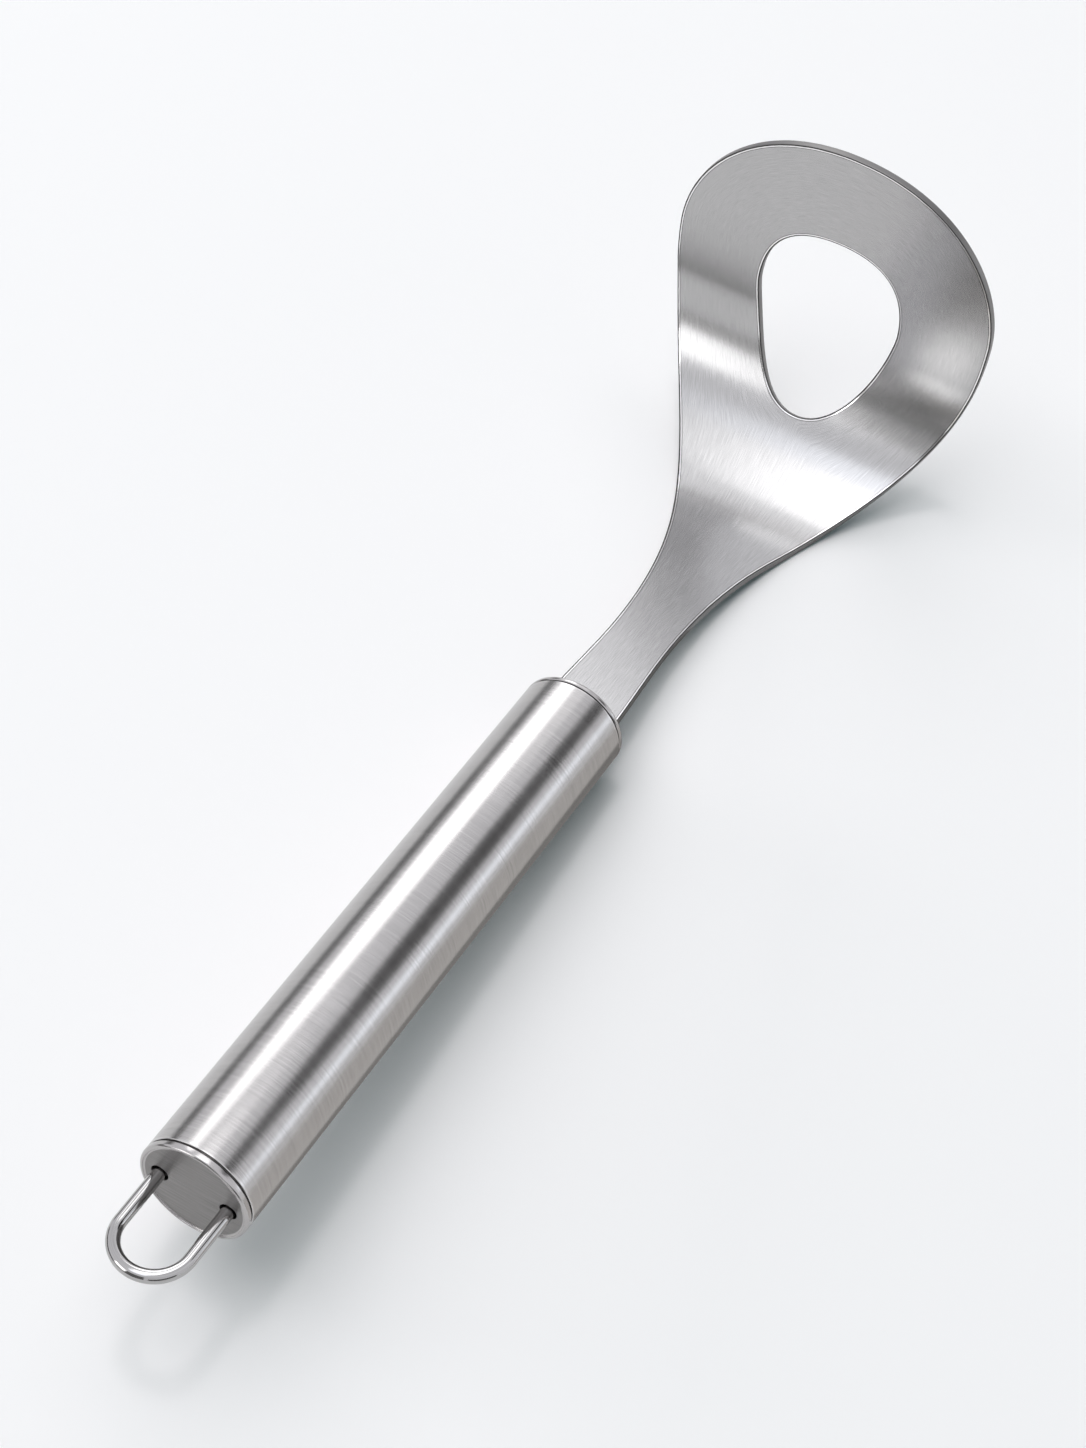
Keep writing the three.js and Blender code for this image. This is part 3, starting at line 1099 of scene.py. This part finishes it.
@dataclass
class EndCup(ScoopPiece):
    """A pressed cup that closes one end of the tube."""

    end: CupEnd
    skirt_length: float = 7 * MM
    rim_round: float = 0.5 * MM
    lip_round: float = 0.14 * MM
    cut_round: float = 0.12 * MM
    cut_segments: int = 2
    cut_tolerance: float = 0.02 * MM
    slot_round: float = 0.3 * MM
    slot_sharp_edge: float = math.radians(30)
    hole_cutter_depth: float = 4.8 * MM
    slot_cutter_depth: float = 6.4 * MM
    hole_sides: int = 64
    sides: int = 192
    arc_steps: int = 8

    @property
    def name(self) -> str:
        """The piece's name."""
        return f"{self.end.value}_cup"

    @property
    def rim_width(self) -> float:
        """How much of the cup stands out of the tube."""
        return self.sizes.tail_rim if self.end is CupEnd.TAIL else self.sizes.front_rim

    @property
    def hole_radius(self) -> float:
        """Radius of a hole for the hanger."""
        return self.sizes.wire_radius + self.sizes.wire_hole_clearance

    @property
    def slot(self) -> Pair:
        """Width and height of the slot for the blade."""
        gaps = 2 * self.sizes.seat_gap
        return self.sizes.shank_width + gaps, self.sizes.blade_thickness + gaps

    def profile(self) -> list[Pair]:
        """The cup's section from the face's middle, over the rim, to the inside's middle.

        Returns:
            Points of (along the axis, radius), with the outer side at 0.
        """
        recess, radius = self.sizes.cup_recess, self.sizes.tube_radius
        crest, lip, rim = self.rim_round, self.lip_round, self.rim_width
        skirt = self.sizes.tube_bore - self.sizes.seat_gap
        inner, floor = skirt - self.sizes.cup_wall, recess + self.sizes.cup_wall
        back = rim + self.skirt_length
        shoulder = radius - crest - lip
        turns = [math.pi / 2 * step / self.arc_steps for step in range(1, self.arc_steps + 1)]
        waves = [(math.sin(turn), math.cos(turn)) for turn in turns]
        return [
            (recess, 0.0),
            (recess, shoulder - 2 * lip),
            (recess, shoulder - lip),
            *((recess - (recess - lip) * sin**2, shoulder - lip * cos) for sin, cos in waves),
            *((lip * (1 - sin), shoulder + lip * (1 - cos)) for sin, cos in waves),
            *((crest * (1 - cos), radius - crest * (1 - sin)) for sin, cos in waves),
            (rim - lip, radius),
            (rim, radius - lip),
            (rim, skirt),
            (back, skirt),
            (back, inner),
            (floor, inner),
            (floor, 0.0),
        ]

    def wire_hole(self, side: Side) -> Object:
        """A cutter for one of the hanger's holes.

        Args:
            side: which leg it is for.

        Returns:
            The cutter.
        """
        Bench.clear()
        bpy.ops.mesh.primitive_cylinder_add(
            vertices=self.hole_sides, radius=self.hole_radius, depth=self.hole_cutter_depth,
            location=(self.sizes.cup_recess, side.value * self.sizes.leg_offset, 0),
            rotation=(0, math.pi / 2, 0),
        )
        bpy.ops.object.transform_apply()
        return bpy.context.object

    def blade_slot(self) -> Object:
        """A cutter for the slot that the blade goes through.

        Returns:
            The cutter, with the outer side at 0.
        """
        Bench.clear()
        bpy.ops.mesh.primitive_cube_add(
            size=1, scale=(self.slot_cutter_depth, *self.slot),
            location=(0, 0, self.sizes.blade_lift), rotation=(0, -self.sizes.blade_droop, 0),
        )
        cutter = bpy.context.object
        bpy.ops.object.transform_apply()
        Bench.ease(cutter, self.slot_round, self.slot_sharp_edge)
        return cutter

    def off_cut(self, point: Vector) -> float:
        """How far a point of the outer face is from the edge of a cut.

        Args:
            point: the point.

        Returns:
            The distance, in metres.
        """
        if self.end is CupEnd.TAIL:
            reach = math.hypot(abs(point.y) - self.sizes.leg_offset, point.z)
            return abs(reach - self.hole_radius)
        width, height = self.slot
        sideways = abs(point.y) - width / 2
        upwards = abs(point.z - self.sizes.blade_lift) - height / 2
        return abs(max(sideways, upwards))

    def at_cut(self, start: Vector, end: Vector) -> bool:
        """Says if an edge runs round a cut in the outer face.

        Args:
            start: one end of the edge.
            end: its other end.

        Returns:
            True for an edge that is to be rounded.
        """
        return all(
            abs(point.x - self.sizes.cup_recess) <= WELD
            and self.off_cut(point) < self.cut_tolerance
            for point in (start, end)
        )

    def build(self) -> Object:
        """Models the cup in the handle's frame.

        Returns:
            The finished cup.
        """
        piece = Bench.turned(self.name, self.profile(), self.sides)
        if self.end is CupEnd.TAIL:
            for side in Side:
                Bench.cut(piece, self.wire_hole(side))
        else:
            Bench.cut(piece, self.blade_slot())
        Bench.tidy(piece)
        Bench.pick_edges(piece, self.at_cut)
        bpy.ops.mesh.bevel(offset=self.cut_round, segments=self.cut_segments, affect="EDGES")
        Bench.tidy(piece)
        Bench.smooth(piece)
        if self.end is CupEnd.FRONT:
            mouth = Matrix.Translation((self.sizes.handle_length, 0, 0))
            Bench.place(piece, mouth @ Matrix.Rotation(math.pi, 4, "Z"))
        return piece


@dataclass
class WireHanger(ScoopPiece):
    """The sliding wire loop, with its feet turned in behind the tail cup."""

    straight: float = 10 * MM
    foot_bend: float = 1.8 * MM
    foot_length: float = 2.4 * MM
    end_round: float = 0.3 * MM
    sharp_edge: float = math.radians(60)
    sides: int = 40
    bend_steps: int = 14
    crown_steps: int = 64
    name: str = "wire_hanger"

    @property
    def foot_at(self) -> float:
        """How far in from the tail rim the feet lie."""
        face = self.sizes.cup_recess + self.sizes.cup_wall
        return face + self.sizes.seat_gap + self.sizes.wire_radius

    def run(self, step: Point) -> None:
        """Pulls the open end of the wire straight on."""
        bpy.ops.mesh.extrude_region_move(TRANSFORM_OT_translate={"value": step})

    def turn(self, centre: Point, angle: float, steps: int) -> None:
        """Bends the open end of the wire to the left round a centre, in straight steps."""
        bpy.ops.mesh.spin(steps=steps, angle=-angle, center=centre, axis=(0, 0, 1))

    def drawn_map(self, piece: Object) -> None:
        """Writes a UV map of (along the wire, round the wire), in metres.

        Args:
            piece: the finished wire.
        """
        offset, crown = self.sizes.leg_offset, -self.straight
        layer = piece.data.uv_layers.new(name="Drawn")
        for loop in piece.data.loops:
            x, y, z = piece.data.vertices[loop.vertex_index].co
            if x < crown:
                turn = math.atan2(y, crown - x)
                reach = math.hypot(y, x - crown) - offset
                along = offset * (math.pi / 2 - turn) - crown
            else:
                reach = abs(y) - offset
                along = -x if y > 0 else x + offset * math.pi + 2 * self.straight
            round_wire = abs(math.atan2(z, reach)) * self.sizes.wire_radius
            layer.data[loop.index].uv = (along, round_wire)

    def build(self) -> Object:
        """Models the wire in the handle's frame.

        Returns:
            The finished wire.
        """
        Bench.clear()
        offset, bend, foot = self.sizes.leg_offset, self.foot_bend, self.foot_length
        elbow = self.foot_at - bend
        leg = elbow + self.straight
        bpy.ops.mesh.primitive_circle_add(
            vertices=self.sides, radius=self.sizes.wire_radius,
            location=(self.foot_at, offset - bend - foot, 0), rotation=(math.pi / 2, 0, 0),
        )
        piece = bpy.context.object
        piece.name = self.name
        bpy.ops.object.transform_apply()
        bpy.ops.object.mode_set(mode="EDIT")
        bpy.ops.mesh.select_mode(type="EDGE")
        self.run((0, foot, 0))
        self.turn((elbow, offset - bend, 0), math.pi / 2, self.bend_steps)
        self.run((-leg, 0, 0))
        self.turn((-self.straight, 0, 0), math.pi, self.crown_steps)
        self.run((leg, 0, 0))
        self.turn((elbow, bend - offset, 0), math.pi / 2, self.bend_steps)
        self.run((0, foot, 0))
        Bench.tidy(piece)
        Bench.edit(piece)
        bpy.ops.mesh.select_all(action="SELECT")
        bpy.ops.mesh.fill_holes(sides=0)
        Bench.tidy(piece)
        Bench.ease(piece, self.end_round, self.sharp_edge)
        self.drawn_map(piece)
        Bench.smooth(piece)
        return piece


# Studio

UP = (0.0, 0.0, 1.0)
DOWN = (0.0, 0.0, -1.0)
MIDDLE = (0.03, 0.0, 0.03)
RING_MIDDLE = (0.1, 0.0, 0.05)
LOOP_MIDDLE = (-0.11, 0.0, 0.027)
FLOOR_TINT = (1.0, 0.952, 0.966)


@dataclass(frozen=True)
class Viewpoint:
    """The camera's place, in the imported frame."""

    eye: Point = (-0.25999, -0.13272, 0.42492)
    aim: Point = (0.00863, 0.00093, 0.02)
    roll: float = math.radians(4.643)
    lens: float = 71.8
    sensor: float = 36.0
    clip: float = 0.01

    def build(self) -> Object:
        """Adds the camera and makes it the scene's own.

        Returns:
            The camera.
        """
        data = bpy.data.cameras.new("view")
        data.lens = self.lens
        data.sensor_width = self.sensor
        data.clip_start = self.clip
        camera = bpy.data.objects.new("view", data)
        bpy.context.scene.collection.objects.link(camera)
        look = (Vector(self.aim) - Vector(self.eye)).to_track_quat("-Z", "Y")
        camera.rotation_mode = "QUATERNION"
        camera.rotation_quaternion = look @ Quaternion((0, 0, 1), self.roll)
        camera.location = self.eye
        bpy.context.scene.camera = camera
        return camera


def around(azimuth: float, elevation: float, distance: float) -> Point:
    """A place round the scoop.

    Args:
        azimuth: degrees from the head's direction towards the left side.
        elevation: degrees above the floor.
        distance: metres from the middle of the scoop.

    Returns:
        The place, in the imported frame.
    """
    turn, rise = math.radians(azimuth), math.radians(elevation)
    way = Vector((math.cos(turn) * math.cos(rise), math.sin(turn) * math.cos(rise), math.sin(rise)))
    return tuple(Vector(MIDDLE) + distance * way)


@dataclass(frozen=True)
class StudioPanel:
    """A flat panel that hangs at one place and faces another, or faces one way."""

    name: str
    centre: Point
    width: float
    height: float
    level: float
    tint: Colour = (1.0, 1.0, 1.0)
    target: Point = MIDDLE
    facing: Point | None = None

    def matrix(self) -> Matrix:
        """Where the panel hangs, with its lit side forward and its width level.

        Returns:
            The panel's place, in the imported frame.
        """
        forward = Vector(self.facing or Vector(self.target) - Vector(self.centre)).normalized()
        right = forward.cross(Vector(UP))
        right = right.normalized() if right.length > WELD else Vector((1, 0, 0))
        turn = Matrix((right, right.cross(forward), -forward)).transposed()
        return Matrix.Translation(self.centre) @ turn.to_4x4()


@dataclass(frozen=True)
class Softbox(StudioPanel):
    """An area lamp of an even brightness, for the steel's reflections or else for the floor."""

    for_floor: bool = False

    def build(self) -> Object:
        """Hangs the lamp.

        Returns:
            The lamp.
        """
        data = bpy.data.lights.new(self.name, "AREA")
        data.shape = "RECTANGLE"
        data.size, data.size_y = self.width, self.height
        data.energy = self.level * math.pi * self.width * self.height
        data.color = self.tint
        lamp = bpy.data.objects.new(self.name, data)
        bpy.context.scene.collection.objects.link(lamp)
        lamp.matrix_world = self.matrix()
        lamp.visible_camera = False
        lamp.visible_glossy = not self.for_floor
        lamp.visible_diffuse = self.for_floor
        return lamp


@dataclass(frozen=True)
class Flag(StudioPanel):
    """A dim card that only shows in the steel."""

    def build(self) -> Object:
        """Hangs the card.

        Returns:
            The card.
        """
        Bench.clear()
        bpy.ops.mesh.primitive_plane_add(size=1)
        card = bpy.context.object
        card.name = self.name
        card.matrix_world = self.matrix() @ Matrix.Diagonal((self.width, self.height, 1, 1))
        surface = Surface(bpy.data.materials.new(self.name))
        glow = {"Color": self.tint, "Strength": self.level}
        surface.close(surface.node("ShaderNodeEmission", None, glow))
        card.data.materials.append(surface.owner)
        card.visible_camera = False
        card.visible_diffuse = False
        card.visible_shadow = False
        card.visible_transmission = False
        return card


# Each panel: its name, place, width, height, level and tint.
PANELS: tuple[Softbox | Flag, ...] = (
    Softbox("key_softbox", around(37, 35, 2.0), 0.78, 0.9, 2.2),
    Softbox("top_softbox", (0.035, 0.03, 0.5), 0.36, 0.2, 2.1, facing=DOWN),
    Softbox("glow_softbox", (0.185, 0.035, 0.17), 0.09, 0.1, 0.45, facing=DOWN),
    Softbox("blue_softbox", (-0.235, 0.05, 0.5), 0.18, 0.2, 1.35, (0.88, 0.92, 1.0), facing=DOWN),
    Softbox("tail_softbox", (-0.42, 0.24, 0.205), 0.2, 0.2, 2.1, target=(0.1, 0.02, 0.05)),
    Softbox("right_softbox", around(-56, 6.2, 2.0), 0.7, 0.33, 1.05, (0.82, 0.91, 1.0)),
    Softbox(
        "bounce_card", (0.075, -0.0155, 0.006), 0.011, 0.009, 1.0, target=(0.113, -0.025, 0.031)
    ),
    Softbox("fill_softbox", around(60, 64, 4.0), 5.8, 5.8, 1.7, FLOOR_TINT, for_floor=True),
    Softbox("back_softbox", around(140, 72, 4.0), 3.5, 3.5, 0.6, FLOOR_TINT, for_floor=True),
    Softbox("high_softbox", around(46, 79, 3.5), 0.55, 0.55, 14.5, FLOOR_TINT, for_floor=True),
    Softbox("side_softbox", around(100, 12, 3.0), 1.2, 1.2, 5.0, FLOOR_TINT, for_floor=True),
    Flag("left_flag", around(58, 7, 1.9), 0.9, 0.5, 0.16),
    Flag("right_flag", around(-42, 33.5, 1.9), 0.8, 0.8, 0.06),
    Flag("tail_flag", (-0.4, 0.02, 0.13), 0.2, 0.24, 0.2, target=RING_MIDDLE),
    Flag("low_tail_flag", (-0.43, 0.075, 0.05), 0.11, 0.11, 0.1, target=RING_MIDDLE),
    Flag("left_tail_flag", (-0.43, 0.255, 0.05), 0.25, 0.11, 0.55, target=RING_MIDDLE),
    Flag("arm_flag", (0.078, 0.039, 0.0006), 0.014, 0.028, 0.25, facing=UP),
    Flag(
        "near_shade_flag", (-0.0175, -0.0115, 0.0006), 0.145, 0.013, 0.25, (1.0, 0.97, 0.94),
        facing=UP,
    ),
    Flag(
        "far_shade_flag", (-0.0175, -0.064, 0.0006), 0.145, 0.092, 0.68, (1.0, 0.98, 0.96),
        facing=UP,
    ),
    Flag("left_loop_flag", (-0.185, 0.29, 0.03), 0.3, 0.1, 0.15, target=LOOP_MIDDLE),
    Flag("right_loop_flag", (-0.308, -0.23, 0.06), 0.3, 0.12, 0.15, target=LOOP_MIDDLE),
)


@dataclass
class Studio:
    """The pale floor, the world and the panels."""

    floor_radius: float = 4.0
    floor_sides: int = 96
    fade_start: float = 0.4
    fade_end: float = 0.9
    floor_colour: Colour = (0.95, 0.95, 0.95)
    backdrop: Colour = (0.97, 0.98, 1.02)
    ambient: Colour = (0.6, 0.95, 1.0)
    ambient_level: float = 0.15
    panels: Sequence[Softbox | Flag] = PANELS

    def build_floor(self) -> Object:
        """Lays the floor, which turns into the pale surround well away from the scoop.

        Returns:
            The floor.
        """
        Bench.clear()
        bpy.ops.mesh.primitive_circle_add(
            vertices=self.floor_sides, radius=self.floor_radius, fill_type="NGON"
        )
        floor = bpy.context.object
        floor.name = "floor"
        surface = Surface(bpy.data.materials.new("pale_floor"))
        x, y, _ = surface.split(surface.node("ShaderNodeTexCoord").outputs["Object"])
        far = (x * x + y * y).root().rise(self.fade_start, self.fade_end)
        near = surface.node("ShaderNodeBsdfDiffuse", None, {"Color": self.floor_colour})
        glow = surface.node("ShaderNodeEmission", None, {"Color": self.backdrop})
        layers = {0: far * surface.seen(), 1: near.outputs[0], 2: glow.outputs[0]}
        surface.close(surface.node("ShaderNodeMixShader", None, layers))
        surface.owner.cycles.emission_sampling = "NONE"
        floor.data.materials.append(surface.owner)
        return floor

    def build_world(self) -> None:
        """Makes a plain pale surround that the camera and the steel see, over a softer ambient."""
        world = bpy.data.worlds.new("surround")
        bpy.context.scene.world = world
        surface = Surface(world)
        layers = {0: surface.seen()}
        shades = ((self.ambient, self.ambient_level), (self.backdrop, 1.0))
        for slot, (colour, level) in enumerate(shades, start=1):
            inputs = {"Color": colour, "Strength": level}
            layers[slot] = surface.node("ShaderNodeBackground", None, inputs).outputs[0]
        surface.close(surface.node("ShaderNodeMixShader", None, layers), "ShaderNodeOutputWorld")

    def build(self) -> None:
        """Sets the whole studio up."""
        bpy.context.scene.view_settings.view_transform = "Standard"
        self.build_floor()
        self.build_world()
        for panel in self.panels:
            panel.build()


# The scoop


def hand_over(piece: Object, body: Body, node: str) -> None:
    """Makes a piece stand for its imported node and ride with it.

    Args:
        piece: the finished piece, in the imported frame.
        body: the body that it moves with.
        node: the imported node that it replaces.
    """
    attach(piece, body.value)
    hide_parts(node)
    triangles = sum(len(face.vertices) - 2 for face in piece.data.polygons)
    log.info("%s stands for %s on %s, %d triangles", piece.name, node, body.value, triangles)


def main() -> None:
    """Builds the scoop piece by piece and sets it in its studio."""
    logging.basicConfig(level=logging.INFO, format="%(name)s: %(message)s")
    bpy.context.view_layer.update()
    sizes = Sizes()
    place = HandleFrame.from_pack(sizes)
    Viewpoint().build()

    tube_finish, cup_finish = TubeFinish(place, sizes).make(), CupFinish(place).make()
    pieces = (
        (RingBlade(sizes), BladeFinish().make(), Body.HANDLE, "scoop_blade", "blade_steel"),
        (HandleTube(sizes), tube_finish, Body.HANDLE, "handle_tube", "tube_steel"),
        (EndCup(sizes, CupEnd.TAIL), cup_finish, Body.HANDLE, "tail_cap", "cap_steel"),
        (EndCup(sizes, CupEnd.FRONT), cup_finish, Body.HANDLE, "front_cap", "cap_steel"),
        (WireHanger(sizes), WireFinish().make(), Body.LOOP, "hanging_loop", "loop_steel"),
    )
    for maker, finish, body, node, slot in pieces:
        piece = maker.build()
        maker.dress(piece, finish)
        Bench.place(piece, place.matrix)
        hand_over(piece, body, node)

    Studio().build()


if __name__ == "__main__":
    main()
